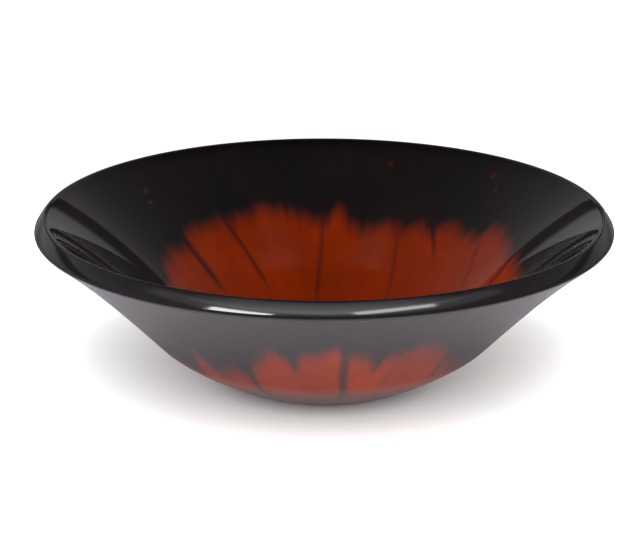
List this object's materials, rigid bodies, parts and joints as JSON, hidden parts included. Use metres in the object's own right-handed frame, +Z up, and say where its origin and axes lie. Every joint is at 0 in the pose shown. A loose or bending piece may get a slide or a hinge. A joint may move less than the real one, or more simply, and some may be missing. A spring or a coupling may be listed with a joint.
{
  "type": "art glass bowl",
  "caption": "Wide flared bowl of thick clear glass with a gloss black lip, coloured on its outer face with black enamel round a flame-edged red field.",
  "frame": {"origin": "middle of the flat face that the bowl rests on", "axes": "+Z up along the bowl's own axis, out of its mouth; -Y towards the side shown as the front"},
  "size_m": [0.42, 0.42, 0.1277],
  "materials": {
    "clear_glass": "polished",
    "gloss_black_enamel": "gloss",
    "black_enamel": "satin",
    "red_enamel": "satin"
  },
  "bodies": {
    "root": {"glass_bowl": "clear_glass", "lip_enamel": "gloss_black_enamel", "black_enamel": "black_enamel", "red_enamel": "red_enamel", "base_enamel": "red_enamel", "red_speck_1": "red_enamel", "red_speck_2": "red_enamel", "red_speck_3": "red_enamel", "red_speck_4": "red_enamel", "red_speck_5": "red_enamel"}
  },
  "joints": []
}
